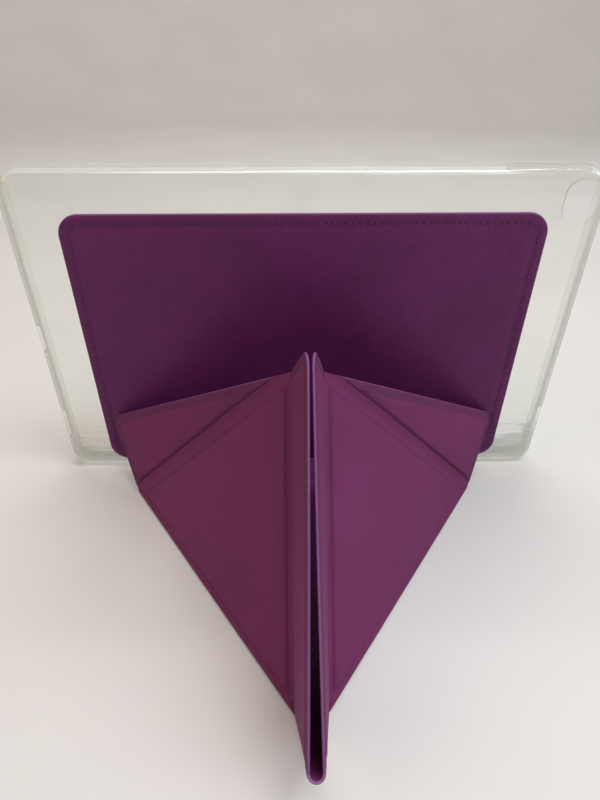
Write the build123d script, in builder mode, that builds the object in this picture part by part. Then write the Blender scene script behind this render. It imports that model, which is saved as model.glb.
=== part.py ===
"""A tablet stand: a clear tray with a folding cover that stands behind it as a prop.

The cover is one sheet of boards between leather and lining.  It hangs from the tray's back
panel by a spine, and its creases let it fold into a hollow wedge with a fin down the middle.

Frame, in millimetres: +Z up, +X to the right as seen from the tablet's screen side, +Y towards
the fin.  The origin is on the table, under the middle of the cover's base panel.
"""

import os
from math import acos, atan2, cos, degrees, hypot, radians, sin, sqrt, tan

from build123d import *

# ---------------------------------------------------------------- driving dimensions
# Tablet that the tray is made for, a common 10.4 inch size
tablet_w, tablet_h, tablet_t = 244.5, 154.3, 7.0
tablet_clearance = 0.25

# Clear tray
wall_t = 1.8
back_t = 1.2
lip_t = 1.0
lip_reach = 1.3
corner_r = 9.0
back_edge_r = 5.0
tray_lean = 6.0  # degrees that the tray leans back over the cover

# Openings of the tray
camera_w, camera_h, camera_r = 14.0, 18.0, 6.0
camera_inset = 4.5
button_slot_l, button_slot_inset = 34.5, 8.5
port_slot_l, speaker_slot_l, speaker_slot_up = 15.0, 18.0, 27.0
slot_t, slot_from_back = 5.0, 2.4

# Stitched panel glued to the tray's back
pad_side_margin, pad_top_margin, pad_up = 22.6, 17.5, 7.1
pad_r = 9.5
pad_board_inset = 6.5
glue_t = 0.2
stitch_inset, stitch_w, stitch_depth = 4.0, 0.6, 0.3

# Layers of the cover's sheet
leather_t, board_t, lining_t = 0.5, 0.9, 0.4

# Cover, laid flat: how far it stands out past the tray, and the panels round its base panel
cover_over_end, cover_over_top, cover_r = 1.2, 7.6, 6.5
heel_w = 40.5  # each heel panel, along the spine's edge
fin_nose_h, fin_shoulder_h = 44.4, 37.6  # height of the fin at its middle fold and at its end
fin_foot_half = 5.5  # half the width between the folded fin's halves at their foot
fin_gap = 1.4  # between them at the top
turned_edge = 4.5  # leather turned in round the free edges, with no board
band_half_w = 3.8  # half of a crease's band, with no board
panel_r, board_r = 0.8, 1.5

# Spine between the back panel and the cover
spine_end_gap, spine_board_inset = 2.0, 2.6
spine_clearance = 0.4  # under the tray when the cover is closed
closed_gap = 2.0  # in front of the tray when the cover is closed

# Magnets in the fin, which hold its halves together and the closed cover shut
magnet_l, magnet_w, magnet_t = 12.0, 5.0, 0.7
magnet_inset = 12.0

hinge_clearance = 0.3
contact_gap = 0.2

# ---------------------------------------------------------------- sizes that follow
sheet_t = leather_t + board_t + lining_t
web_t = leather_t + lining_t
pad_t = glue_t + board_t + leather_t
tray_w = tablet_w + 2 * (tablet_clearance + wall_t)
tray_h = tablet_h + 2 * (tablet_clearance + wall_t)
tray_d = back_t + tablet_t + tablet_clearance + lip_t
pad_w = tray_w - 2 * pad_side_margin
pad_h = tray_h - pad_up - pad_top_margin
cover_w = tray_w + 2 * cover_over_end
cover_h = tray_h + cover_over_top
half_w = cover_w / 2
base_half_w = half_w - heel_w
base_len = cover_h - fin_nose_h
side_fold_up = cover_h - fin_shoulder_h

# The web's crease at the back panel, in the tray's axes: out from its back, up from its bottom
web_end = web_t / 2 + hinge_clearance
web_out = pad_t / 2
web_up = pad_up - hypot(web_t / 2, web_end) - hinge_clearance / 2
web_len = web_up + sheet_t / 2 + spine_clearance
spine_len = web_out + tray_d + sheet_t / 2 + closed_gap

# The same crease above the table, and how far the stretched web and spine reach from it
lean = radians(tray_lean)
web_y = web_out * cos(lean) + web_up * sin(lean)
web_z = web_up * cos(lean) - web_out * sin(lean)
web_drop = web_z - sheet_t / 2
web_reach = sqrt((web_len + spine_len) ** 2 - web_drop**2)
hinge_y = -base_len / 2
tray_y = hinge_y - web_reach - web_y


# ---------------------------------------------------------------- folding
def turned(plane, start, end, angle):
    """The plane after a turn, in degrees, about the line from start to end drawn on it."""
    a, b = (plane.from_local_coords(Vector(*p, 0)) for p in (start, end))
    turn = Axis((0, 0, 0), b - a)
    return Plane(
        origin=a + (plane.origin - a).rotate(turn, angle),
        x_dir=plane.x_dir.rotate(turn, angle),
        z_dir=plane.z_dir.rotate(turn, angle),
    )


def turn_to_reach(plane, start, end, point, wall, distance):
    """The two turns about start-end that bring a point to a distance in front of a wall."""
    a, b, p = (plane.from_local_coords(Vector(*q, 0)) for q in (start, end, point))
    along = (b - a).normalized()
    foot = a + along * (p - a).dot(along)
    arm = p - foot
    level = distance - (foot - wall.origin).dot(wall.z_dir)
    ahead, aside = arm.dot(wall.z_dir), along.cross(arm).dot(wall.z_dir)
    middle = degrees(atan2(aside, ahead))
    swing = degrees(acos(level / hypot(ahead, aside)))
    return middle - swing, middle + swing


def turn_to_meet(plane, start, end, points, wall, distance):
    """The turn about start-end after which the first of these points is this far from a wall."""

    def nearest(angle):
        folded = turned(plane, start, end, angle)
        return min(
            (folded.from_local_coords(Vector(*p, 0)) - wall.origin).dot(wall.z_dir)
            for p in points
        )

    turns = (
        min(turn_to_reach(plane, start, end, p, wall, distance), key=abs) for p in points
    )
    return max(turns, key=nearest)


def moved_in(corners, setbacks):
    """A polygon whose edges each move inwards by their own distance; edge i starts at corner i."""
    area = sum(
        a[0] * b[1] - b[0] * a[1] for a, b in zip(corners, corners[1:] + corners[:1])
    )
    side = 1 if area > 0 else -1
    lines = []
    for (ax, ay), (bx, by), gap in zip(corners, corners[1:] + corners[:1], setbacks):
        length = hypot(bx - ax, by - ay)
        nx, ny = -side * (by - ay) / length, side * (bx - ax) / length
        lines.append((nx, ny, nx * ax + ny * ay + gap))
    points = []
    for (ax, ay, a), (bx, by, b) in zip(lines[-1:] + lines[:-1], lines):
        det = ax * by - ay * bx
        points.append(((a * by - b * ay) / det, (ax * b - bx * a) / det))
    return points


# The tray's back: x across as seen from behind, y up the tray, z out towards the cover
back = Plane(
    origin=(0, tray_y, 0), x_dir=(-1, 0, 0), z_dir=(0, cos(lean), -sin(lean))
)

# Flat sheets: x as in the frame, y away from the tray, z out of the leather
base_plane = Plane(origin=(0, hinge_y, sheet_t / 2))
web_start = back.from_local_coords(Vector(0, web_up, web_out))
web_dir = Vector(0, web_reach, -web_drop).normalized()
web_plane = Plane(
    origin=web_start, x_dir=(1, 0, 0), z_dir=Vector(1, 0, 0).cross(web_dir)
)

# The crease folds, then every panel: its folded plane, its flat corners and its creases.
# An edge that is a crease is "fold", and the rest are trimmed by the cover's own outline.
panels = {
    "base": (
        base_plane,
        [
            (-base_half_w, 0),
            (base_half_w, 0),
            (fin_foot_half, base_len),
            (-fin_foot_half, base_len),
        ],
        ["fold", "fold", "foot", "fold"],
    )
}
creases = {}
for side, s in (("left", -1), ("right", 1)):
    mid_wall = Plane(origin=(0, 0, 0), z_dir=(s, 0, 0))
    foot, end = (s * base_half_w, 0), (s * fin_foot_half, base_len)
    shoulder, heel = (s * half_w, side_fold_up), (s * half_w, 0)
    tip, nose = (s * half_w, cover_h), (s * fin_foot_half, cover_h)
    heel_arc = [
        (s * (half_w - cover_r * (1 - cos(radians(a)))), cover_r * (1 - sin(radians(a))))
        for a in range(0, 91, 5)
    ]

    # Each crease runs so that a positive turn folds the left and right panels alike
    base_crease, fin_crease, heel_crease = (
        pair[::s * -1] for pair in ((foot, end), (end, shoulder), (foot, shoulder))
    )
    side_angle = turn_to_reach(
        base_plane, *base_crease, shoulder, mid_wall, fin_foot_half
    )[1]
    side_plane = turned(base_plane, *base_crease, side_angle)
    fin_half = sheet_t / 2 + fin_gap / 2
    fin_angle = turn_to_meet(side_plane, *fin_crease, (tip, nose), mid_wall, fin_half)
    fin_plane = turned(side_plane, *fin_crease, fin_angle)
    stand_off = pad_t + sheet_t / 2 + contact_gap
    heel_angle = turn_to_meet(side_plane, *heel_crease, heel_arc, back, stand_off)
    heel_plane = turned(side_plane, *heel_crease, heel_angle)

    creases[f"side_{side}"] = (base_plane, base_crease, side_angle)
    creases[f"fin_{side}"] = (side_plane, fin_crease, fin_angle)
    creases[f"heel_{side}"] = (side_plane, heel_crease, heel_angle)
    panels[f"side_{side}"] = (side_plane, [foot, end, shoulder], ["fold"] * 3)
    panels[f"heel_{side}"] = (
        heel_plane,
        [heel, shoulder, foot],
        ["free", "fold", "free"],
    )
    panels[f"fin_{side}"] = (
        fin_plane,
        [shoulder, end, nose, tip],
        ["fold", "nose", "free", "free"],
    )

# How far each kind of edge is set back: the sheet, clear of its neighbour when folded, and the
# board, clear of the crease's band
sharpest = max(abs(angle) for _, _, angle in creases.values())
crease_gap = 0.5 * sheet_t * tan(radians(sharpest / 2)) + hinge_clearance
beyond = -(cover_w + cover_h)
sheet_gap = {
    "fold": crease_gap,
    "foot": hinge_clearance,
    "nose": hinge_clearance,
    "free": beyond,
}
board_gap = {
    "fold": band_half_w,
    "foot": band_half_w,
    "nose": band_half_w / 2,
    "free": beyond,
}

# ---------------------------------------------------------------- the cover's panels
os.makedirs("parts", exist_ok=True)


def save(piece, label):
    """Labels a finished piece and writes it as its own file."""
    piece.part.label = label
    export_step(piece.part, f"parts/{label}.step")


for panel, (plane, corners, edges) in panels.items():
    outline = moved_in(corners, [sheet_gap[edge] for edge in edges])
    board_outline = moved_in(corners, [board_gap[edge] for edge in edges])
    lining_face = plane.offset(-sheet_t / 2)
    board_face = plane.offset(-sheet_t / 2 + lining_t)
    is_fin = panel.startswith("fin")
    outer = 1 if corners[0][0] > 0 else -1
    magnet_spots = [
        (outer * u, cover_h - turned_edge - magnet_w)
        for u in (half_w - turned_edge - magnet_inset, fin_foot_half + magnet_inset)
    ]

    with BuildPart() as lining:
        with BuildSketch(lining_face) as shape:
            Polygon(*outline, align=None)
            fillet(shape.vertices(), panel_r)
            with Locations((0, cover_h / 2)):
                RectangleRounded(cover_w, cover_h, cover_r, mode=Mode.INTERSECT)
        extrude(amount=lining_t)
    save(lining, f"lining_{panel}")

    with BuildPart() as board:
        with BuildSketch(board_face) as shape:
            Polygon(*board_outline, align=None)
            fillet(shape.vertices(), board_r)
            with Locations((0, cover_h / 2)):
                RectangleRounded(
                    cover_w - 2 * turned_edge,
                    cover_h - 2 * turned_edge,
                    cover_r - turned_edge,
                    mode=Mode.INTERSECT,
                )
        extrude(amount=board_t)
        if is_fin:
            with BuildSketch(board_face.offset(board_t)):
                with Locations(*magnet_spots):
                    Rectangle(magnet_l, magnet_w)
            extrude(amount=-magnet_t, mode=Mode.SUBTRACT)
    save(board, f"board_{panel}")

    with BuildPart() as leather:
        with BuildSketch(board_face) as shape:
            Polygon(*outline, align=None)
            fillet(shape.vertices(), panel_r)
            with Locations((0, cover_h / 2)):
                RectangleRounded(cover_w, cover_h, cover_r, mode=Mode.INTERSECT)
        extrude(amount=board_t + leather_t)
        with BuildSketch(board_face) as shape:
            Polygon(*board_outline, align=None)
            fillet(shape.vertices(), board_r)
            with Locations((0, cover_h / 2)):
                RectangleRounded(
                    cover_w - 2 * turned_edge,
                    cover_h - 2 * turned_edge,
                    cover_r - turned_edge,
                    mode=Mode.INTERSECT,
                )
        extrude(amount=board_t, mode=Mode.SUBTRACT)
    save(leather, f"leather_{panel}")

    if is_fin:
        with BuildPart() as magnets:
            with BuildSketch(board_face.offset(board_t)):
                with Locations(*magnet_spots):
                    Rectangle(magnet_l, magnet_w)
            extrude(amount=-magnet_t)
        save(magnets, f"magnets_{panel}")

# ---------------------------------------------------------------- web and spine
spine_w = 2 * (base_half_w - spine_end_gap)
right_angle_gap = sheet_t / 2 + hinge_clearance
web_from, web_to = web_end, web_len - right_angle_gap
spine_from = web_len + right_angle_gap
spine_to = web_len + spine_len - right_angle_gap
web_mid, spine_mid = (web_from + web_to) / 2, (spine_from + spine_to) / 2

with BuildPart() as web_leather:
    with BuildSketch(web_plane.offset(web_t / 2 - leather_t)):
        with Locations((0, web_mid)):
            Rectangle(spine_w, web_to - web_from)
    extrude(amount=leather_t)
save(web_leather, "leather_web")

with BuildPart() as web_lining:
    with BuildSketch(web_plane.offset(-web_t / 2)):
        with Locations((0, web_mid)):
            Rectangle(spine_w, web_to - web_from)
    extrude(amount=lining_t)
save(web_lining, "lining_web")

spine_board_w = spine_w - 2 * turned_edge
spine_board_l = spine_to - spine_from - 2 * spine_board_inset
with BuildPart() as spine_leather:
    with BuildSketch(web_plane.offset(-sheet_t / 2 + lining_t)):
        with Locations((0, spine_mid)):
            RectangleRounded(spine_w, spine_to - spine_from, panel_r)
    extrude(amount=board_t + leather_t)
    with BuildSketch(web_plane.offset(-sheet_t / 2 + lining_t)):
        with Locations((0, spine_mid)):
            RectangleRounded(spine_board_w, spine_board_l, board_r)
    extrude(amount=board_t, mode=Mode.SUBTRACT)
save(spine_leather, "leather_spine")

with BuildPart() as spine_board:
    with BuildSketch(web_plane.offset(-sheet_t / 2 + lining_t)):
        with Locations((0, spine_mid)):
            RectangleRounded(spine_board_w, spine_board_l, board_r)
    extrude(amount=board_t)
save(spine_board, "stiffener_spine")

with BuildPart() as spine_lining:
    with BuildSketch(web_plane.offset(-sheet_t / 2)):
        with Locations((0, spine_mid)):
            RectangleRounded(spine_w, spine_to - spine_from, panel_r)
    extrude(amount=lining_t)
save(spine_lining, "lining_spine")

# ---------------------------------------------------------------- back panel
pad_middle = (0, pad_up + pad_h / 2)
pad_board_r = max(pad_r - pad_board_inset, board_r)

with BuildPart() as pad_glue:
    with BuildSketch(back):
        with Locations(pad_middle):
            RectangleRounded(
                pad_w - 2 * pad_board_inset, pad_h - 2 * pad_board_inset, pad_board_r
            )
    extrude(amount=glue_t)
save(pad_glue, "glue_back_panel")

with BuildPart() as pad_board:
    with BuildSketch(back.offset(glue_t)):
        with Locations(pad_middle):
            RectangleRounded(
                pad_w - 2 * pad_board_inset, pad_h - 2 * pad_board_inset, pad_board_r
            )
    extrude(amount=board_t)
save(pad_board, "board_back_panel")

with BuildPart() as stitching:
    with BuildSketch(back.offset(pad_t)):
        with Locations(pad_middle):
            for outward, mode in ((stitch_w / 2, Mode.ADD), (-stitch_w / 2, Mode.SUBTRACT)):
                inset = stitch_inset - outward
                RectangleRounded(
                    pad_w - 2 * inset, pad_h - 2 * inset, pad_r - inset, mode=mode
                )
    extrude(amount=-stitch_depth)
save(stitching, "stitching_back_panel")

with BuildPart() as pad_leather:
    with BuildSketch(back):
        with Locations(pad_middle):
            RectangleRounded(pad_w, pad_h, pad_r)
    extrude(amount=pad_t)
    with BuildSketch(back):
        with Locations(pad_middle):
            RectangleRounded(
                pad_w - 2 * pad_board_inset, pad_h - 2 * pad_board_inset, pad_board_r
            )
    extrude(amount=glue_t + board_t, mode=Mode.SUBTRACT)
    add(stitching.part, mode=Mode.SUBTRACT)
save(pad_leather, "leather_back_panel")

# ---------------------------------------------------------------- clear tray
tray_middle = (0, tray_h / 2)
room_w, room_h = tray_w - 2 * wall_t, tray_h - 2 * wall_t
slot_z = -(slot_from_back + slot_t / 2)
cut = wall_t + lip_reach + 2.0


def at_depth(depth):
    """Picks the faces that lie flat at this depth behind the tray's back."""
    return lambda face: (
        face.geom_type == GeomType.PLANE
        and abs(abs(face.normal_at().dot(back.z_dir)) - 1) < 1e-6
        and abs(back.to_local_coords(face.center()).Z + depth) < 1e-4
    )


with BuildPart() as tray:
    with BuildSketch(back):
        with Locations(tray_middle):
            RectangleRounded(tray_w, tray_h, corner_r)
    extrude(amount=-tray_d)
    fillet(tray.faces().filter_by(at_depth(0)).edges(), back_edge_r)

    # Room for the tablet, with its back edge rounded like the tray's
    with BuildSketch(back.offset(-back_t)):
        with Locations(tray_middle):
            RectangleRounded(room_w, room_h, corner_r - wall_t)
    extrude(amount=-(tray_d - back_t - lip_t), mode=Mode.SUBTRACT)
    fillet(tray.faces().filter_by(at_depth(back_t)).edges(), back_edge_r - wall_t)

    # Mouth at the screen side, inside the lip that holds the tablet in
    with BuildSketch(back.offset(-tray_d)):
        with Locations(tray_middle):
            RectangleRounded(
                room_w - 2 * lip_reach, room_h - 2 * lip_reach, corner_r - wall_t - lip_reach
            )
    extrude(amount=lip_t, mode=Mode.SUBTRACT)

    # Camera window, at the upper corner
    with BuildSketch(back):
        with Locations(
            (
                tray_w / 2 - camera_inset - camera_w / 2,
                tray_h - camera_inset - camera_h / 2,
            )
        ):
            RectangleRounded(camera_w, camera_h, camera_r)
    extrude(amount=-2 * back_t, mode=Mode.SUBTRACT)

    # Slot for the buttons, in the top wall
    top = back.from_local_coords(
        Vector(tray_w / 2 - button_slot_inset - button_slot_l / 2, tray_h, slot_z)
    )
    with BuildSketch(Plane(origin=top, x_dir=back.x_dir, z_dir=back.y_dir)):
        SlotOverall(button_slot_l, slot_t)
    extrude(amount=-cut + lip_reach, mode=Mode.SUBTRACT)

    # Slots for the charging port and a speaker, in one end wall, and a speaker in the other
    for s, up, length in (
        (-1, tray_h / 2, port_slot_l),
        (-1, speaker_slot_up, speaker_slot_l),
        (1, speaker_slot_up, speaker_slot_l),
    ):
        middle = back.from_local_coords(Vector(s * tray_w / 2, up, slot_z))
        with BuildSketch(Plane(origin=middle, x_dir=back.y_dir, z_dir=back.x_dir * s)):
            SlotOverall(length, slot_t)
        extrude(amount=-cut + lip_reach, mode=Mode.SUBTRACT)
save(tray, "clear_tray")
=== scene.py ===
"""A clear tablet tray with a folding cover, which stands behind it as a prop.

Lengths in this file are millimetres, and become metres where a mesh is made.
"""

from math import cos, radians, sin, tau

import bmesh
import bpy
import numpy as np
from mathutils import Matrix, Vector


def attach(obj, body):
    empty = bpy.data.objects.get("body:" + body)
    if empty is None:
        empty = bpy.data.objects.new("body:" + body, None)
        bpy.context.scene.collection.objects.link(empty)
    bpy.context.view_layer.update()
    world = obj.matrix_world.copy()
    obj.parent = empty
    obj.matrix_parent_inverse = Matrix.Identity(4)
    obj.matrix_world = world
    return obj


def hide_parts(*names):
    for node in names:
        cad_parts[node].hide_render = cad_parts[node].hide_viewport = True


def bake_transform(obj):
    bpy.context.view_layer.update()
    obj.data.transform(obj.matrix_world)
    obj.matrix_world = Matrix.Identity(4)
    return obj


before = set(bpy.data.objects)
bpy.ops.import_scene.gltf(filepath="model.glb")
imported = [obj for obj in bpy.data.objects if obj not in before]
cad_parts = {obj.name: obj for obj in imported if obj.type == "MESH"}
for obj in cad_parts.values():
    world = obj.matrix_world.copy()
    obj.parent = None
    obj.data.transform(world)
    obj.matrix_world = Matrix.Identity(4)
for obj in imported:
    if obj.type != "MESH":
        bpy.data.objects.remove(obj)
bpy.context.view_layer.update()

MM = 0.001

# ---------------------------------------------------------------- camera
PITCH, YAW = radians(31.426), 0.0167
LENS = 27.25

camera = bpy.data.objects.new("camera", bpy.data.cameras.new("camera"))
bpy.context.scene.collection.objects.link(camera)
camera.data.lens = LENS
camera.data.clip_start = 0.01
camera.location = Vector((5.99, 182.91, 203.75)) * MM
looking = Vector((-sin(YAW) * cos(PITCH), -cos(YAW) * cos(PITCH), -sin(PITCH)))
camera.rotation_euler = looking.to_track_quat("-Z", "Y").to_euler()
bpy.context.scene.camera = camera

# ---------------------------------------------------------------- sizes
COVER_W, COVER_H, COVER_R = 251.0, 166.0, 6.5
HALF_W, BASE_HALF_W, FOOT_HALF = COVER_W / 2, 85.0, 5.5
BASE_LEN, SIDE_UP = 121.6, 128.4
SPINE_HALF_W, WEB_LEN, SPINE_LEN = 83.0, 7.3754, 13.15
SHEET_HALF, RIM_HALF = 0.9, 0.48  # half the sheet's thickness, over a board and at a rim
BAND_LINING, BAND_LEATHER, BAND_SEAM = -0.16, 0.55, 0.15  # heights of a band's faces and seam
UNDER_LEATHER, UNDER_LINING = 0.4, 0.5  # how far each skin's underside is off the middle
DEEP, DEEP_NARROW = 13.0, 6.3  # how far in a skin's outline is carried, and on narrow panels
PROFILE_FROM = 6.4  # how far in a skin starts to fall towards its edge
TIP_IN, NOSE_OUT = 2.0625, 0.6  # how far the fin's sheets flex together and apart
BAND_REACH = 3.0  # how far a band runs from its crease into a panel
PAD_W, PAD_H, PAD_UP, PAD_R = 203.4, 133.8, 7.1, 9.5
PAD_SHEET_UP, WEB_FROM = 0.8, 6.0754  # where the web leaves the back panel
STITCH_IN, STITCH_PITCH, STITCH_LONG, THREAD_R = 4.0, 2.9, 2.1, 0.3
LEAN = radians(6.0)


class Plane:
    """A panel's folded plane: its origin, flat x direction and leather normal."""

    def __init__(self, origin, across, normal):
        self.origin = np.array(origin, float)
        self.x = np.array(across, float)
        self.z = np.array(normal, float)
        self.x /= np.linalg.norm(self.x)
        self.z -= self.x * (self.z @ self.x)
        self.z /= np.linalg.norm(self.z)
        self.y = np.cross(self.z, self.x)

    def at(self, flat, height=0.0):
        """Points of the sheet, from flat places and heights above its middle."""
        flat = np.asarray(flat, float)
        height = np.broadcast_to(np.asarray(height, float), flat.shape[:-1])
        return (
            self.origin
            + flat[..., :1] * self.x
            + flat[..., 1:2] * self.y
            + height[..., None] * self.z
        )


BACK = Plane((0, -82.1229, 0), (-1, 0, 0), (0, cos(LEAN), -sin(LEAN)))
STRETCHED = Plane((0, -80.6923, 5.9585), (1, 0, 0), (0, 0.246449, 0.969156))

foot, end = (-BASE_HALF_W, 0), (-FOOT_HALF, BASE_LEN)
shoulder, heel = (-HALF_W, SIDE_UP), (-HALF_W, 0)
tip, nose = (-HALF_W, COVER_H), (-FOOT_HALF, COVER_H)

# Each panel: its plane, flat corners, the kind of edge after each corner, and corner radii
PANELS = {
    "base": (
        Plane((0, -60.8, 0.9), (1, 0, 0), (0, 0, 1)),
        [foot, (BASE_HALF_W, 0), (FOOT_HALF, BASE_LEN), end],
        ["fold", "fold", "foot", "fold"],
        [0, 0, 0, 0],
    ),
    "side": (
        Plane(
            (-81.9634, -7.2137, -65.0112),
            (0.035724, 0.630427, -0.775426),
            (0.775426, -0.50696, -0.376438),
        ),
        [foot, end, shoulder],
        ["fold", "fold", "fold"],
        [0, 0, 0],
    ),
    "heel": (
        Plane(
            (-60.9241, -25.8015, -72.7237),
            (0.283247, 0.411747, -0.866161),
            (0.646373, -0.749164, -0.144757),
        ),
        [heel, shoulder, foot],
        ["free", "fold", "free"],
        [COVER_R, 0, 0],
    ),
    "fin": (
        Plane(
            (-16.1537, -28.6703, -80.9436),
            (0.004977, 0.640452, -0.767982),
            (0.996122, -0.070635, -0.052449),
        ),
        [shoulder, end, nose, tip],
        ["fold", "nose", "free", "free"],
        [0, 0, 0, COVER_R],
    ),
    "spine": (
        STRETCHED,
        [
            (-SPINE_HALF_W, WEB_LEN),
            (SPINE_HALF_W, WEB_LEN),
            (SPINE_HALF_W, WEB_LEN + SPINE_LEN),
            (-SPINE_HALF_W, WEB_LEN + SPINE_LEN),
        ],
        ["fold", "free", "fold", "free"],
        [0, 0, 0, 0],
    ),
    "web": (
        STRETCHED,
        [
            (-SPINE_HALF_W, 0),
            (SPINE_HALF_W, 0),
            (SPINE_HALF_W, WEB_LEN),
            (-SPINE_HALF_W, WEB_LEN),
        ],
        ["fold", "free", "fold", "free"],
        [0, 0, 0, 0],
    ),
}


# ---------------------------------------------------------------- finishes
def colour(red, green, blue):
    """A display colour of 0 to 255 as the linear colour a shader takes."""
    share = np.array([red, green, blue]) / 255
    linear = np.where(share <= 0.04045, share / 12.92, ((share + 0.055) / 1.055) ** 2.4)
    return (*linear.tolist(), 1.0)


class Finish:
    """A material and short ways to add to its node tree."""

    def __init__(self, name):
        self.material = bpy.data.materials.new(name)
        self.material.use_nodes = True
        self.tree = self.material.node_tree
        self.shader = self.tree.nodes["Principled BSDF"]
        self.place = self.add("ShaderNodeTexCoord").outputs["Object"]

    def add(self, kind, **settings):
        """A node, with its properties and input values set by name."""
        node = self.tree.nodes.new(kind)
        for key, value in settings.items():
            if hasattr(node, key):
                setattr(node, key, value)
            else:
                self.put(node.inputs[key.replace("_", " ")], value)
        return node

    def put(self, socket, value):
        """Links a socket to another node's output, or sets its value."""
        if isinstance(value, bpy.types.NodeSocket):
            self.tree.links.new(value, socket)
        else:
            socket.default_value = value

    def noise(self, size, detail=2.0, rough=0.5, stretch=(1, 1, 1)):
        """Soft noise whose lumps are about this many millimetres across."""
        mapping = self.add("ShaderNodeMapping", Vector=self.place)
        mapping.inputs["Scale"].default_value = stretch
        node = self.add("ShaderNodeTexNoise", Vector=mapping.outputs[0])
        node.inputs["Scale"].default_value = 1 / (size * MM)
        node.inputs["Detail"].default_value = detail
        node.inputs["Roughness"].default_value = rough
        return node.outputs["Fac"]

    def cells(self, size, feature="SMOOTH_F1"):
        """Rounded cells about this many millimetres across, high at their edges."""
        node = self.add("ShaderNodeTexVoronoi", feature=feature, Vector=self.place)
        node.inputs["Scale"].default_value = 1 / (size * MM)
        return node.outputs["Distance"]

    def sum(self, *parts):
        """The weighted sum of some values, given as value and weight in turn."""
        total = None
        for value, weight in parts:
            node = self.add("ShaderNodeMath", operation="MULTIPLY_ADD")
            self.put(node.inputs[0], value)
            node.inputs[1].default_value = weight
            self.put(node.inputs[2], total if total is not None else 0.0)
            total = node.outputs[0]
        return total

    def between(self, value, low, high, to_low, to_high):
        """The value carried from one range to another, held at the ends."""
        node = self.add("ShaderNodeMapRange")
        self.put(node.inputs["Value"], value)
        for key, number in (
            ("From Min", low),
            ("From Max", high),
            ("To Min", to_low),
            ("To Max", to_high),
        ):
            node.inputs[key].default_value = number
        return node.outputs["Result"]

    def mixed(self, share, first, second):
        """A colour between two, by a share of 0 to 1."""
        node = self.add("ShaderNodeMix", data_type="RGBA")
        self.put(node.inputs["Factor"], share)
        self.put(node.inputs[6], first)
        self.put(node.inputs[7], second)
        return node.outputs[2]

    def attribute(self, name):
        """A value stored on the mesh's points."""
        return self.add("ShaderNodeAttribute", attribute_name=name).outputs["Fac"]

    def bump(self, height, depth, strength=1.0):
        """Raises the surface by a height of 0 to 1 times a depth in millimetres."""
        node = self.add("ShaderNodeBump", Height=height)
        node.inputs["Distance"].default_value = depth * MM
        node.inputs["Strength"].default_value = strength
        self.put(self.shader.inputs["Normal"], node.outputs[0])

    def set(self, **values):
        """Sets or links the shader's own sockets, named with underscores for spaces."""
        for key, value in values.items():
            self.put(self.shader.inputs[key.replace("_", " ")], value)


def outer_leather():
    """Fine grained leather: rounded pebbles about a millimetre across, in a soft sheen."""
    skin = Finish("outer_leather")
    pebbles = skin.cells(0.95)
    pores = skin.cells(0.42)
    height = skin.sum((pebbles, 0.8), (pores, 0.35), (skin.noise(0.3, 3), 0.25))
    skin.bump(height, 0.10, 0.75)
    tone = skin.sum((skin.noise(38, 3), 0.7), (skin.noise(6, 3), 0.3))
    body = skin.mixed(
        skin.between(tone, 0.35, 0.65, 0, 1), colour(93, 29, 85), colour(104, 36, 95)
    )
    valley = skin.between(pebbles, 0.45, 0.95, 0, 0.5)
    body = skin.mixed(valley, body, colour(66, 20, 62))
    body = skin.mixed(skin.attribute("turned"), body, colour(97, 37, 80))
    body = skin.mixed(
        skin.between(skin.attribute("wear"), 0, 1, 0, 0.5), body, colour(150, 104, 160)
    )
    gloss = skin.between(skin.sum((pebbles, 0.6), (tone, 0.4)), 0.2, 0.9, 0.5, 0.68)
    skin.set(
        Base_Color=body,
        Roughness=skin.sum((gloss, 1.0), (skin.attribute("turned"), 0.15)),
        IOR=1.45,
        Specular_IOR_Level=0.3,
    )
    return skin.material


def soft_lining():
    """Matte lining: a short even nap with faint mottling and a pale fuzz, with painted shade at
    the foot of each board's shoulder along the folds.
    """
    nap = Finish("soft_lining")
    fine = nap.noise(0.22, 4, 0.6)
    weave = nap.cells(0.55)
    nap.bump(nap.sum((fine, 0.7), (weave, 0.4), (nap.noise(1.6, 3), 0.3)), 0.05, 0.6)
    tone = nap.sum((nap.noise(55, 3), 0.55), (nap.noise(9, 4), 0.3), (fine, 0.15))
    body = nap.mixed(
        nap.between(tone, 0.36, 0.64, 0, 1), colour(105, 41, 84), colour(115, 47, 93)
    )
    body = nap.mixed(
        nap.between(nap.attribute("wear"), 0, 1, 0, 0.7), body, colour(160, 118, 168)
    )
    # Painted shade: the lining darkens at the foot of each board's shoulder, in place of the
    # shadow there
    body = nap.mixed(
        nap.between(nap.attribute("groove"), 0, 1, 0, 0.8), body, colour(50, 12, 40)
    )
    nap.set(
        Base_Color=body,
        Roughness=nap.between(nap.sum((fine, 0.5), (tone, 0.5)), 0.3, 0.7, 0.6, 0.76),
        IOR=1.45,
        Specular_IOR_Level=0.16,
    )
    nap.shader.inputs["Sheen Weight"].default_value = 0.03
    nap.shader.inputs["Sheen Roughness"].default_value = 0.45
    nap.shader.inputs["Sheen Tint"].default_value = colour(214, 180, 220)
    return nap.material


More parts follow.
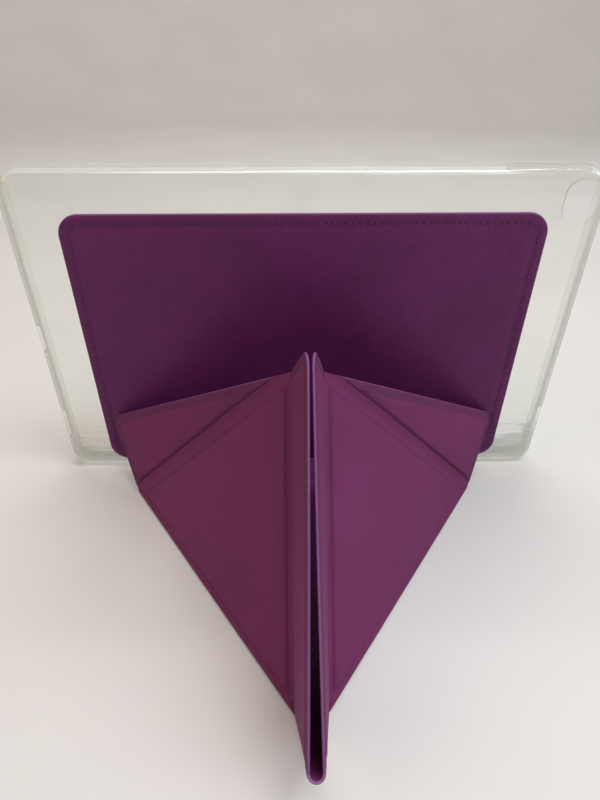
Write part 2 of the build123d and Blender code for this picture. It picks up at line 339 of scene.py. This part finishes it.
def clear_plastic():
    """Clear flexible plastic: see-through, with a gloss that grows where it turns away, a
    faint milky cast, and waves that are strongest along its top edge."""
    shell = Finish("clear_plastic")
    tree, out = shell.tree, shell.tree.nodes["Material Output"]
    ripple = shell.sum(
        (shell.noise(30, 2, 0.5, (1, 1, 3)), 0.8),
        (shell.noise(5, 1, 0.5, (0.12, 1, 1)), 0.9),
        (shell.noise(7, 2), 0.15),
    )
    height = shell.add("ShaderNodeSeparateXYZ", Vector=shell.place).outputs["Z"]
    strength = shell.between(height, 0.145, 0.152, 0.15, 1)
    wavy = shell.add("ShaderNodeMath", operation="MULTIPLY")
    shell.put(wavy.inputs[0], ripple)
    shell.put(wavy.inputs[1], strength)
    bump = shell.add("ShaderNodeBump", Height=wavy.outputs[0])
    bump.inputs["Distance"].default_value = 0.9 * MM
    bump.inputs["Strength"].default_value = 0.6
    haze = shell.noise(18, 4)
    clear = shell.add("ShaderNodeBsdfTransparent")
    clear.inputs["Color"].default_value = colour(253, 254, 252)
    gloss = shell.shader
    shell.set(
        Base_Color=shell.mixed(haze, colour(226, 226, 222), colour(240, 240, 238)),
        Roughness=shell.between(shell.noise(9, 4), 0.3, 0.7, 0.06, 0.14),
        IOR=2.2,
        Specular_IOR_Level=1.0,
        Normal=bump.outputs[0],
    )
    edge = shell.add("ShaderNodeFresnel", Normal=bump.outputs[0])
    edge.inputs["IOR"].default_value = 1.42
    cover = shell.sum((edge.outputs[0], 0.75), (haze, 0.07))
    blend = tree.nodes.new("ShaderNodeMixShader")
    shell.put(blend.inputs[0], cover)
    shell.put(blend.inputs[1], clear.outputs[0])
    shell.put(blend.inputs[2], gloss.outputs[0])
    shell.put(out.inputs["Surface"], blend.outputs[0])
    return shell.material


def sewing_thread():
    """Waxed thread: a fine diagonal twist, darker in its grooves."""
    thread = Finish("sewing_thread")
    twist = thread.add("ShaderNodeTexWave", Vector=thread.place)
    twist.bands_direction = "DIAGONAL"
    twist.inputs["Scale"].default_value = 900
    twist.inputs["Distortion"].default_value = 1.5
    lay = twist.outputs["Fac"]
    thread.bump(lay, 0.05, 0.8)
    thread.set(
        Base_Color=thread.mixed(lay, colour(48, 16, 46), colour(92, 42, 88)),
        Roughness=thread.between(lay, 0, 1, 0.62, 0.5),
    )
    return thread.material


def grey_board():
    """Pressed grey board with short fibres."""
    board = Finish("grey_board")
    fibre = board.noise(0.8, 5, 0.7, (1, 0.25, 1))
    board.bump(fibre, 0.08)
    board.set(
        Base_Color=board.mixed(fibre, colour(120, 116, 108), colour(170, 164, 152)),
        Roughness=board.between(fibre, 0, 1, 0.85, 0.95),
    )
    return board.material


def plated_magnet():
    """Dull nickel plating with fine scratches."""
    plate = Finish("plated_magnet")
    scratch = plate.noise(0.6, 4, 0.6, (0.1, 1, 1))
    plate.bump(scratch, 0.01)
    plate.set(
        Base_Color=plate.mixed(scratch, colour(170, 168, 164), colour(198, 196, 192)),
        Roughness=plate.between(scratch, 0.3, 0.7, 0.28, 0.42),
        Metallic=1.0,
    )
    return plate.material


def dried_glue():
    """A milky film of glue with small bubbles."""
    film = Finish("dried_glue")
    bubbles = film.cells(1.6, "F1")
    film.bump(bubbles, 0.05)
    film.set(
        Base_Color=film.mixed(bubbles, colour(214, 208, 190), colour(232, 228, 214)),
        Roughness=film.between(bubbles, 0, 1, 0.35, 0.55),
    )
    return film.material


LEATHER, LINING, THREAD = outer_leather(), soft_lining(), sewing_thread()


# ---------------------------------------------------------------- making pieces
def make(name, points, faces, finish, slot, attributes=None, sharp=38):
    """A mesh object from points in millimetres, its faces turned outwards."""
    mesh = bpy.data.meshes.new(name)
    mesh.from_pydata((points * MM).tolist(), [], faces)
    for key, values in (attributes or {}).items():
        stored = mesh.attributes.new(key, "FLOAT", "POINT")
        stored.data.foreach_set("value", np.asarray(values, np.float32).ravel())
    shell = bmesh.new()
    shell.from_mesh(mesh)
    bmesh.ops.recalc_face_normals(shell, faces=shell.faces)
    shell.to_mesh(mesh)
    shell.free()
    mesh.shade_smooth()
    mesh.set_sharp_from_angle(angle=radians(sharp))
    mesh.materials.append(finish)
    piece = bpy.data.objects.new(name, mesh)
    bpy.context.scene.collection.objects.link(piece)
    return piece


def wrapped(rings):
    """Quads from each ring of points to the next, and a face over both end rings."""
    count, around = rings.shape[:2]
    here = np.arange(count * around).reshape(count, around)
    beside = np.roll(here, -1, axis=1)
    quads = np.stack([here[:-1], beside[:-1], beside[1:], here[1:]], -1).reshape(-1, 4)
    return rings.reshape(-1, 3), quads.tolist() + [here[0][::-1].tolist(), here[-1].tolist()]


def mirrored(points):
    """The same points on the other side of the middle."""
    return points * np.array([-1, 1, 1])


def set_in(corners, setbacks):
    """A polygon's corners after each edge moves in by its own distance.

    With n the inward normal of an edge from corner c, its moved line holds the points p
    where n.p = n.c + setback, and a new corner solves that for its two edges.
    """
    corners = np.array(corners, float)
    along = np.roll(corners, -1, axis=0) - corners
    turn = np.sign(np.sum(corners[:, 0] * np.roll(corners[:, 1], -1)
                          - np.roll(corners[:, 0], -1) * corners[:, 1]))
    normal = turn * np.stack([-along[:, 1], along[:, 0]], 1)
    normal /= np.linalg.norm(normal, axis=1, keepdims=True)
    reach = np.sum(normal * corners, axis=1) + np.array(setbacks, float)
    both = np.stack([np.roll(normal, 1, axis=0), normal], 1)
    level = np.stack([np.roll(reach, 1), reach], 1)
    return np.linalg.solve(both, level[..., None])[..., 0]


def turned_outline(corners, radii, arc_steps, edge_steps):
    """Points round a polygon, with an arc of its own radius at each corner.

    With u and v the unit directions from a corner along its edges and q half the angle
    between them, the arc runs between the points r / tan q along each, about the centre
    (u + v) / |u + v| * r / sin q.  Also gives, for each point, the edges that it lies
    between, as the share of the second.
    """
    corners = np.asarray(corners, float)
    u = np.roll(corners, 1, axis=0) - corners
    v = np.roll(corners, -1, axis=0) - corners
    u /= np.linalg.norm(u, axis=1, keepdims=True)
    v /= np.linalg.norm(v, axis=1, keepdims=True)
    half = np.arccos(np.clip(np.sum(u * v, axis=1), -1, 1))[:, None] / 2
    radius = np.maximum(np.asarray(radii, float), 0.02)[:, None]
    middle = (u + v) / np.linalg.norm(u + v, axis=1, keepdims=True)
    centre = corners + middle * radius / np.sin(half)
    first, last = (corners + w * radius / np.tan(half) for w in (u, v))
    sweep = (np.pi - 2 * half)[:, None]
    share = np.linspace(0, 1, arc_steps + 1)[None, :, None]
    arcs = centre[:, None] + (
        (first - centre)[:, None] * np.sin((1 - share) * sweep)
        + (last - centre)[:, None] * np.sin(share * sweep)
    ) / np.sin(sweep)
    along = np.linspace(0, 1, edge_steps + 2)[None, 1:-1, None]
    ahead = np.roll(first, -1, axis=0)[:, None]
    edges = last[:, None] * (1 - along) + ahead * along
    points = np.concatenate([arcs, edges], axis=1).reshape(-1, 2)
    before = np.concatenate(
        [np.broadcast_to(share[0, :, 0], arcs.shape[:2]), np.ones(edges.shape[:2])], axis=1
    ).ravel()
    return points, before


def of_edges(values, share, arc_steps, edge_steps):
    """A value for each point of a turned outline, from one value for each edge."""
    own = np.repeat(np.array(values, float), arc_steps + 1 + edge_steps)
    prior = np.repeat(np.roll(np.array(values, float), 1), arc_steps + 1 + edge_steps)
    return prior * (1 - share) + own * share


# Profiles of a panel from its middle outwards: how far in from each kind of edge, and how
# high above the sheet's middle.  The board's rim shows as a soft shoulder.
SHOULDER_IN = np.array([5.3, 4.8, 4.4, 4.1, 3.8, 3.5, 3.25, BAND_REACH])
SHOULDER_FALL = np.array([0, 0.03, 0.12, 0.3, 0.55, 0.8, 0.95, 1])
RIM_IN = np.array([6.0, 5.4, 5.05, 4.75, 4.5, 4.3, 4.1, 3.9])
RIM_FALL = np.array([0, 0.03, 0.14, 0.33, 0.55, 0.66, 0.7, 0.78])
EDGE_ARC = np.radians([90, 68, 45, 22, 0, -22, -45, -68, -90])


# Painted shade in each panel's lining along its folds' grooves: how dark it gets, and how that
# varies from the fold inwards
GROOVE_PAINTED_SHADE, GROOVE_PAINTED_SHADE_ELSE = {"heel": 0.65, "side": 0.35, "fin": 0.3}, 0.2
GROOVE_PAINTED_SHADE_IN, GROOVE_PAINTED_SHADE_SHARE = [3.0, 3.5, 4.5, 5.4], [0.7, 1, 0.45, 0]
TO_FOLD = {"fold": 0.0, "nose": -1.9, "foot": 0.0}  # moves the shoulder for a kind of edge


def edge_profile(kind, layer, deep):
    """Distances in and heights of one layer's skin, from the middle out and back in."""
    deeps = [deep, (deep + PROFILE_FROM) / 2]
    low = -BAND_LINING if layer == "lining" else BAND_LEATHER
    if kind == "free":
        out_in = RIM_IN
        out_up = SHEET_HALF - (SHEET_HALF - RIM_HALF) * RIM_FALL
    else:
        out_in = SHOULDER_IN + TO_FOLD[kind]
        out_up = SHEET_HALF - (SHEET_HALF - low) * SHOULDER_FALL
        if kind == "foot":
            out_in = np.append(out_in[:-2], [1.5, 0.0])
        if kind == "nose":
            out_in = np.append(out_in[:-2], [0.7, 0.0])
    reach = out_in[-1]
    if layer == "lining":
        if kind == "free":
            back_in, back_up = [reach, 4.2, 4.45, 4.6], [0.47, 0.47, 0.49, UNDER_LINING]
        else:
            back_in = [reach, reach + 0.3, reach + 0.6, reach + 0.75]
            back_up = [-BAND_SEAM, -BAND_SEAM, 0.1, UNDER_LINING]
        height = -np.concatenate([[SHEET_HALF] * 2, out_up, back_up, [UNDER_LINING] * 2])
    else:
        if kind == "free":
            out_up[-3:] = [RIM_HALF + 0.05, RIM_HALF + 0.02, RIM_HALF]
            arc_in = RIM_HALF * (1 - np.cos(EDGE_ARC))
            arc_up = RIM_HALF * np.sin(EDGE_ARC)
            back_in = [*arc_in, 3.0, 4.1, 4.3, 4.6]
            back_up = [*arc_up, -RIM_HALF, -RIM_HALF, -0.47, UNDER_LEATHER]
        else:
            back_in = [reach] * 9 + [reach + 0.1, reach + 0.3, reach + 0.5, reach + 0.65]
            back_up = [*np.linspace(0.5, BAND_SEAM, 9), BAND_SEAM, BAND_SEAM, 0.2, UNDER_LEATHER]
        height = np.concatenate([[SHEET_HALF] * 2, out_up, back_up, [UNDER_LEATHER] * 2])
    return np.concatenate([deeps, out_in, back_in, deeps[::-1]]), height


def fin_flex(flat):
    """How far the fin's sheet flexes towards its other half at a flat place.

    It grows with the square of the distance from the crease, to TIP_IN at the tip and
    -NOSE_OUT at the nose, and runs straight from one to the other along the edge.
    """
    flat = np.asarray(flat, float)
    line = np.array(shoulder, float) - np.array(end, float)
    line /= np.linalg.norm(line)
    off = flat - np.array(end)
    rise = (off @ np.array([line[1], -line[0]])) / (COVER_H - BASE_LEN)
    along = np.clip((-FOOT_HALF - flat[..., 0]) / (HALF_W - FOOT_HALF), 0, 1)
    return np.clip(rise, 0, None) ** 2 * ((TIP_IN + NOSE_OUT) * along - NOSE_OUT)


def panel_skin(panel, layer):
    """One layer of a panel: its profile carried round the outline, closed to the middle.

    The point of ring k at outline place t is the outline set in by the profile's distance
    k and raised by its height k.  At a corner the two edges' profiles are mixed by t.
    """
    plane, corners, kinds, radii = PANELS[panel]
    deep = DEEP_NARROW if panel in ("base", "spine") else DEEP
    arc_steps, edge_steps = 10, 24
    profiles = [edge_profile(kind, layer, deep) for kind in kinds]
    rings, wear, turned_in, groove = [], [], [], []
    # how dark this panel's painted groove shade gets
    depth = GROOVE_PAINTED_SHADE.get(panel, GROOVE_PAINTED_SHADE_ELSE)
    seam = max(i.min() for i, _ in profiles)
    for k in range(len(profiles[0][0])):
        inset = [p[0][k] for p in profiles]
        height = [p[1][k] for p in profiles]
        square = 1.4 * np.clip((max(inset) - seam) / 0.8, 0, 1)
        turn = [max(r - min(inset[i], inset[i - 1]), square) if r else square
                for i, r in enumerate(radii)]
        flat, share = turned_outline(set_in(corners, inset), turn, arc_steps, edge_steps)
        up = of_edges(height, share, arc_steps, edge_steps)
        if panel == "fin":
            up = up + fin_flex(flat)
        rings.append(plane.at(flat, up))
        if layer == "leather":
            worn = [(kind == "free") * max(0, 1 - i / 0.35) for kind, i in zip(kinds, inset)]
            wear.append(of_edges(worn, share, arc_steps, edge_steps))
            border = [kind == "free" and h < -0.2 for kind, h in zip(kinds, height)]
            turned_in.append(of_edges(border, share, arc_steps, edge_steps))
        else:
            # Painted shade along each fold's groove, strongest on the heel
            painted_shade = [
                depth * (kind == "fold") * np.interp(i, GROOVE_PAINTED_SHADE_IN, GROOVE_PAINTED_SHADE_SHARE)
                for kind, i in zip(kinds, inset)
            ]
            groove.append(of_edges(painted_shade, share, arc_steps, edge_steps))
    rings = np.array(rings)
    middle = rings[0].mean(0)
    inner = np.array([0.06, 0.35, 0.7])[:, None, None]
    first = middle + (rings[0] - middle) * inner
    centre = rings[-1].mean(0)
    last = centre + (rings[-1] - centre) * inner[::-1]
    nothing = np.zeros((3, rings.shape[1]))
    looks = {
        key: np.concatenate([nothing, values, nothing])
        for key, values in (("wear", wear), ("turned", turned_in), ("groove", groove))
        if values
    }
    return np.concatenate([first, rings, last]), looks


def crease_band(first, second, layer):
    """One layer of the boardless band over the crease between two panels.

    A flat point lies s across the crease and h above the sheet's middle.  It is turned
    about the crease by w times the fold, where w = 3 t^2 - 2 t^3 and t is how far the
    turned point has come from the band's start to its end.  Along the crease the band
    ends on the lines that halve the panels' corners.
    """
    (a_plane, a_corners, a_kinds, _), (b_plane, b_corners, b_kinds, _) = (
        PANELS[first],
        PANELS[second],
    )
    a_reach, b_reach = BAND_SPAN.get((first, second), (BAND_REACH, BAND_REACH))
    a_points = a_plane.at(np.array(a_corners))
    b_points = b_plane.at(np.array(b_corners))
    gap = np.linalg.norm(a_points[:, None] - b_points[None], axis=2)
    pairs = sorted((gap[i, j], i, j) for i in range(len(gap)) for j in range(len(gap[0])))
    (_, a0, b0), (_, a1, b1) = pairs[:2]
    start, stop = a_points[a0], a_points[a1]
    if second == "base":
        start, stop = b_points[b0], b_points[b1]
    along = (stop - start) / np.linalg.norm(stop - start)

    def corner_places(plane, corners, kinds, reach):
        inside = set_in(corners, [0 if k in ("free", "nose", "foot") else reach for k in kinds])
        return (plane.at(inside) - start) @ along, plane.at(inside)

    a_along, a_inside = corner_places(a_plane, a_corners, a_kinds, a_reach)
    b_along, b_inside = corner_places(b_plane, b_corners, b_kinds, b_reach)
    a_out = -(a_inside[a0] - start)
    a_out -= along * (a_out @ along)
    a_out /= np.linalg.norm(a_out)
    b_in = b_inside[b0] - start
    b_in -= along * (b_in @ along)
    b_in /= np.linalg.norm(b_in)
    fold = np.arctan2(np.cross(a_out, b_in) @ along, a_out @ b_in)
    middle = (start + stop) / 2

    def turned(s, h, w):
        across = s[:, None] * a_out + h[:, None] * a_plane.z
        angle = (w * fold)[:, None]
        return across * np.cos(angle) + np.cross(along, across) * np.sin(angle)

    begin = -a_reach * a_out
    finish = b_reach * b_in
    chord = finish - begin

    def fold_share(s, h):
        w = np.clip(0.5 + s / (a_reach + b_reach), 0, 1)
        for _ in range(80):
            t = np.clip((turned(s, h, w) - begin) @ chord / (chord @ chord), 0, 1)
            w = 0.5 * w + 0.5 * t * t * (3 - 2 * t)
        return w

    s = np.concatenate([np.linspace(-a_reach, 0, 13), np.linspace(0, b_reach, 13)[1:]])
    low, high = (BAND_LINING, BAND_SEAM) if layer == "lining" else (BAND_SEAM, BAND_LEATHER)
    around = np.concatenate([s, s[::-1]])
    length = np.linalg.norm(stop - start)
    share = np.concatenate(
        [[0, 0.002, 0.005, 0.01], np.linspace(0.02, 0.98, 25), [0.99, 0.995, 0.998, 1]]
    )
    from_a = np.interp(around, [-a_reach, 0, b_reach], [a_along[a0], 0, b_along[b0]])
    to_b = np.interp(around, [-a_reach, 0, b_reach], [a_along[a1], length, b_along[b1]])
    near = np.minimum(share, 1 - share) * length
    swell = np.sqrt(np.clip(1 - (1 - np.clip(near / 0.5, 0, 1)) ** 2, 0.02, 1))
    rings = []
    for place, thick in zip(share, swell):
        h = thick * np.concatenate([np.full(s.size, low), np.full(s.size, high)])
        w = fold_share(around, h)
        rings.append(
            start + turned(around, h, w) + (from_a * (1 - place) + to_b * place)[:, None] * along
        )
    return np.array(rings), middle + begin, middle + finish


BAND_SPAN = {
    ("spine", "web"): (BAND_REACH, WEB_LEN / 2),
}


# ---------------------------------------------------------------- the cover
for panel in ("base", "side", "heel", "fin", "spine"):
    for layer, finish, slot in (
        ("lining", LINING, "lining"),
        ("leather", LEATHER, "outer_leather"),
    ):
        rings, looks = panel_skin(panel, layer)
        sides = [("", rings)] if panel in ("base", "spine") else [
            ("_left", rings), ("_right", mirrored(rings))]
        for side, place in sides:
            piece = make(
                f"{panel}{side}_{layer}", *wrapped(place), finish, slot, looks
            )
            body = {"base": "base_panel", "spine": "spine"}.get(panel, f"{panel}{side}_panel")
            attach(piece, body)
            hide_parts(f"{layer}_{panel}{side}")
            if panel == "fin" and layer == "leather":
                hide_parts(f"board_fin{side}", f"magnets_fin{side}")
            if panel == "heel" and layer == "leather":
                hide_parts(f"board_heel{side}")

for first, second in (("base", "side"), ("side", "heel"), ("side", "fin"),
                      ("spine", "base"), ("spine", "web")):
    for layer, finish, slot in (
        ("lining", LINING, "lining"),
        ("leather", LEATHER, "outer_leather"),
    ):
        rings, start, stop = crease_band(first, second, layer)
        sides = (("", 1),) if first == "spine" else (("_left", 1), ("_right", -1))
        for side, hand in sides:
            flip = np.array([hand, 1, 1])
            points, faces = wrapped(rings * flip)
            piece = make(f"{first}_{second}_band{side}_{layer}", points, faces, finish, slot,
                         {"wear": np.zeros(len(points))})
            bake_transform(piece)
            if second == "web":
                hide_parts(f"{layer}_web")


# The lower edge of the back panel's leather, whose middle is PAD_SHEET_UP off the tray's back.
# The web's upper half bends out of it.
PANELS["pad"] = (
    Plane(BACK.origin + PAD_SHEET_UP * BACK.z, BACK.x, BACK.z),
    [
        (-SPINE_HALF_W, WEB_FROM),
        (SPINE_HALF_W, WEB_FROM),
        (SPINE_HALF_W, 30),
        (-SPINE_HALF_W, 30),
    ],
    ["fold", "free", "fold", "free"],
    [0, 0, 0, 0],
)
BAND_SPAN[("pad", "web")] = (2.6, WEB_LEN / 2)
for layer, finish, slot in (("lining", LINING, "lining"), ("leather", LEATHER, "outer_leather")):
    rings, start, stop = crease_band("pad", "web", layer)
    points, faces = wrapped(rings)
    piece = make(f"back_web_band_{layer}", points, faces, finish, slot,
                 {"wear": np.zeros(len(points))})
    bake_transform(piece)


def fin_turn():
    """Half of the bend that joins the fin's two sheets at its lower edge.

    At height v along the edge the sheet leaves the fin straight for p, then follows a
    quarter ellipse to the middle: across g (1 - cos a) and onwards p + b sin a.  Here g
    is the fin's distance from the middle, l the sheet's length to the middle, which falls
    from 5.5 at the foot to 3.5 at the nose, p = max(0, l - g pi / 2) and
    b = min(g, sqrt(8 l^2 / pi^2 - g^2)).
    """
    plane = PANELS["fin"][0]
    length = COVER_H - BASE_LEN
    from_nose = np.concatenate([[0, 0.04, 0.12, 0.22, 0.34, RIM_HALF, 1.2, 2.5, 4.0, 4.6, 5.2],
                                np.linspace(6.5, length, 26)])
    flat = np.stack([np.full(from_nose.size, -FOOT_HALF), COVER_H - from_nose], -1)
    edge = plane.at(flat, fin_flex(flat))[:, None]
    v = (1 - from_nose / length)[:, None]
    outer = np.interp(from_nose, [RIM_HALF, 4.0, 5.2], [RIM_HALF, RIM_HALF, -BAND_LINING])
    inner = np.interp(from_nose, [RIM_HALF, 4.0, 5.2], [RIM_HALF, RIM_HALF, BAND_LEATHER])
    swell = np.sqrt(np.clip(1 - (1 - np.clip(from_nose / RIM_HALF, 0, 1)) ** 2, 0.001, 1))
    g = -edge[..., 0]
    reach = FOOT_HALF - 2.0 * v
    p = np.maximum(0, reach - g * np.pi / 2)
    b = np.minimum(g, np.sqrt(np.clip(8 * reach**2 / np.pi**2 - g * g, 0.04, None)))
    straight = np.linspace(0, 1, 6)[None, :-1]
    angle = np.radians(np.linspace(0, 90, 15))[None]
    onward = np.concatenate([p * straight, p + b * np.sin(angle)], 1)
    across = np.concatenate([0 * p * straight, g * (1 - np.cos(angle))], 1)
    out_across = np.concatenate([-1 + 0 * p * straight, -b * np.cos(angle)], 1)
    out_onward = np.concatenate([0 * p * straight, g * np.sin(angle)], 1)
    size = np.hypot(out_across, out_onward)
    sideways = np.array([1.0, 0, 0])
    ahead = plane.x - sideways * plane.x[0]
    ahead /= np.linalg.norm(ahead)

    def at(height):
        points = (
            edge
            + (across + out_across / size * height)[..., None] * sideways
            + (onward + out_onward / size * height)[..., None] * ahead
        )
        points[..., 0] = np.minimum(points[..., 0], 0)
        return points

    outside, inside = at((outer * swell)[:, None]), at(-(inner * swell)[:, None])
    wear = np.clip(1 - from_nose / 0.35, 0, 1)[:, None] * np.ones((1, 2 * onward.shape[1]))
    return np.concatenate([outside, inside[:, ::-1]], axis=1), wear


rings, wear = fin_turn()
for side, place in (("_left", rings), ("_right", mirrored(rings))):
    piece = make(f"fin_bend{side}", *wrapped(place), LINING, "lining", {"wear": wear})
    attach(piece, f"fin{side}_panel")


# ---------------------------------------------------------------- stitched back panel
PAD_CORNERS = [
    (-PAD_W / 2, PAD_UP),
    (PAD_W / 2, PAD_UP),
    (PAD_W / 2, PAD_UP + PAD_H),
    (-PAD_W / 2, PAD_UP + PAD_H),
]
STITCH_UP = 1.2  # of a stitch's ends off the tray's back
PUCKER_WIDE, PUCKER_DEEP = 0.7, 0.12  # of the leather drawn in by each stitch
PAD_STEPS = 40, 380  # points round each corner, and along each side
PAD_IN = np.array(
    [26, 16, 10, 8.4, 7.8, 7.3, 6.9, 6.5, 6.1, 5.6, 5.0, 4.55, 4.25, 4.0, 3.75, 3.45, 3.0, 2.2,
     1.4, 0.75, 0.42, 0.18, 0.04, 0, 0, 0.05, 0.5, 6.2, 6.5, 26]
)
PAD_UPS = np.array(
    [1.6, 1.6, 1.6, 1.6, 1.595, 1.575, 1.53, 1.46, 1.4, 1.36, 1.345, 1.33, 1.27, 1.22, 1.27,
     1.33, 1.35, 1.345, 1.31, 1.22, 1.1, 0.9, 0.7, 0.5, 0.12, 0.04, 0.03, 0.03, 1.1, 1.1]
)


def pad_skin():
    """The leather over the back panel's board: its rim's profile carried round a rounded
    rectangle, with a pucker of depth cos^2 of the stitch count's angle at each stitch end."""
    arc_steps, edge_steps = PAD_STEPS
    path, _ = turned_outline(set_in(PAD_CORNERS, [STITCH_IN] * 4),
                             [PAD_R - STITCH_IN] * 4, arc_steps, edge_steps)
    step = np.linalg.norm(np.roll(path, -1, axis=0) - path, axis=1)
    run = np.concatenate([[0], np.cumsum(step)[:-1]])
    count = round(step.sum() / STITCH_PITCH)
    pucker = np.cos(np.pi * run * count / step.sum()) ** 2
    rings = []
    for inset, up in zip(PAD_IN, PAD_UPS):
        flat, _ = turned_outline(set_in(PAD_CORNERS, [inset] * 4),
                                 [max(PAD_R - inset, 1.5)] * 4, arc_steps, edge_steps)
        near = np.exp(-(((inset - STITCH_IN) / PUCKER_WIDE) ** 2)) if up > 1.15 else 0
        rings.append(BACK.at(flat, up - PUCKER_DEEP * near * pucker))
    rings = np.array(rings)
    centre, back = rings[0].mean(0), rings[-1].mean(0)
    inner = np.array([0.05, 0.5])[:, None, None]
    wear = np.clip(1 - PAD_IN / 0.45, 0, 1) * (PAD_UPS > 0.3)
    wear = np.concatenate([[0, 0], wear, [0, 0]])[:, None] * np.ones((1, rings.shape[1]))
    return np.concatenate(
        [centre + (rings[0] - centre) * inner, rings, back + (rings[-1] - back) * inner[::-1]]
    ), wear, count


rings, wear, stitch_count = pad_skin()
pad = make("back_panel_leather", *wrapped(rings), LEATHER, "outer_leather", {"wear": wear})
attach(pad, "tray_body")
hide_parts("leather_back_panel")


def stitches(count):
    """Every stitch of the back panel, as a thread that rises out of its hole and dives.

    Stitch i is centred where the pucker's cosine is nought.  At share u of its length,
    from -1 to 1, its line is 0.17 (1 - u^2) above the stitch's ends, 0.3 u aside of the
    seam's line, and its radius is r (1 - 0.65 u^6).
    """
    path, _ = turned_outline(set_in(PAD_CORNERS, [STITCH_IN] * 4),
                             [PAD_R - STITCH_IN] * 4, *PAD_STEPS)
    path = np.concatenate([path, path[:1]])
    run = np.concatenate([[0], np.cumsum(np.linalg.norm(np.diff(path, axis=0), axis=1))])
    pitch = run[-1] / count
    u = np.array([-1, -0.92, -0.75, -0.4, 0, 0.4, 0.75, 0.92, 1])
    place = (np.arange(count)[:, None] + 0.5) * pitch + u * STITCH_LONG / 2
    middle = np.stack([np.interp(place, run, path[:, i]) for i in (0, 1)], -1)
    ahead, behind = (
        np.stack([np.interp(place + step, run, path[:, i]) for i in (0, 1)], -1)
        for step in (0.2, -0.2)
    )
    along = ahead - behind
    along /= np.linalg.norm(along, axis=-1, keepdims=True)
    aside = np.stack([-along[..., 1], along[..., 0]], -1)
    middle = middle + aside * (0.3 * u)[None, :, None]
    up = STITCH_UP + 0.17 * (1 - u**2)
    radius = THREAD_R * (1 - 0.65 * u**6)
    around = np.arange(7) / 7 * tau
    flat = (
        middle[:, :, None]
        + aside[:, :, None] * (radius[:, None] * np.cos(around))[None, :, :, None]
    )
    height = up[:, None] + radius[:, None] * 0.8 * np.sin(around)
    points = BACK.at(flat, np.broadcast_to(height, flat.shape[:-1]))
    per = u.size * around.size
    _, faces = wrapped(points[0])
    quads = np.array(faces[:-2])
    caps = np.array(faces[-2:])
    shift = (np.arange(count) * per)[:, None, None]
    all_faces = (quads + shift).reshape(-1, 4).tolist() + (caps + shift).reshape(-1, 7).tolist()
    return points.reshape(-1, 3), all_faces


sewn = make("back_panel_stitches", *stitches(stitch_count), THREAD, "thread", sharp=70)
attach(sewn, "tray_body")
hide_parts("stitching_back_panel")

# ---------------------------------------------------------------- nodes that stay as they are
STAYING = {
    "clear_tray": clear_plastic(),
    "board": grey_board(),
    "stiffener": None,
    "magnets": plated_magnet(),
    "glue": dried_glue(),
}
STAYING["stiffener"] = STAYING["board"]
for name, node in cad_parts.items():
    for start, finish in STAYING.items():
        if name.startswith(start):
            node.data.materials.clear()
            node.data.materials.append(finish)

# ---------------------------------------------------------------- floor and light
def floor_bowl():
    """A round floor that curves up far away: flat to radius 1.5 m, then a quarter turn of
    radius 0.6 m and a straight wall of 1.2 m."""
    turn = np.radians(np.linspace(0, 90, 16))
    radius = np.concatenate([[0.0005, 0.3, 0.8], 1.5 + 0.6 * np.sin(turn), [2.1]]) * 1000
    up = np.concatenate([[0, 0, 0], 0.6 * (1 - np.cos(turn)), [1.8]]) * 1000
    around = np.arange(96) / 96 * tau
    rings = np.stack(
        [
            radius[:, None] * np.cos(around),
            radius[:, None] * np.sin(around),
            np.broadcast_to(up[:, None], (up.size, 96)),
        ],
        -1,
    )
    points, faces = wrapped(rings)
    return points, faces[:-1]


paper = Finish("pale_paper")
tone = paper.noise(160, 3)
paper.bump(paper.noise(1.2, 4), 0.03, 0.5)
paper.set(
    Base_Color=paper.mixed(
        paper.between(tone, 0.3, 0.7, 0, 1), colour(222, 217, 213), colour(228, 223, 219)
    ),
    Roughness=0.62,
)
floor_points, floor_faces = floor_bowl()
mesh = bpy.data.meshes.new("floor")
mesh.from_pydata((floor_points * MM).tolist(), [], floor_faces)
mesh.shade_smooth()
mesh.materials.append(paper.material)
floor = bpy.data.objects.new("floor", mesh)
bpy.context.scene.collection.objects.link(floor)


def soft_lamp(name, place, aim, size, power, tint):
    """A rectangular lamp at a place in metres, turned towards another, in watts."""
    lamp = bpy.data.lights.new(name, "AREA")
    lamp.shape = "RECTANGLE"
    lamp.size, lamp.size_y = size
    lamp.energy = power
    lamp.color = tint
    holder = bpy.data.objects.new(name, lamp)
    holder.location = place
    direction = Vector(aim) - Vector(place)
    holder.rotation_euler = direction.to_track_quat("-Z", "Y").to_euler()
    bpy.context.scene.collection.objects.link(holder)


soft_lamp("ceiling", (-0.2, -0.1, 1.25), (0, 0, 0), (1.5, 0.9), 9.3, (0.97, 0.99, 1.0))
soft_lamp("warm_side", (1.0, 0.4, 0.75), (0, 0, 0.06), (0.8, 0.8), 4.2, (1.0, 0.76, 0.6))
soft_lamp("cool_side", (-1.0, 0.36, 0.8), (0, 0, 0.06), (0.8, 0.8), 5.9, (0.76, 0.91, 1.0))
soft_lamp(
    "bright_strip", (-0.4, 0.36, 1.25), (-0.05, -0.07, 0.15), (0.54, 0.12), 4.0, (0.94, 0.98, 1.0)
)
soft_lamp("back_wash", (0.0, -0.9, 1.5), (0, -1.9, 0.25), (1.6, 0.3), 7.2, (1.0, 0.96, 0.93))

world = bpy.data.worlds.new("room")
world.use_nodes = True
world.node_tree.nodes["Background"].inputs["Color"].default_value = (0.93, 0.94, 1.0, 1)
world.node_tree.nodes["Background"].inputs["Strength"].default_value = 0.07
bpy.context.scene.world = world
bpy.context.scene.view_settings.view_transform = "Standard"
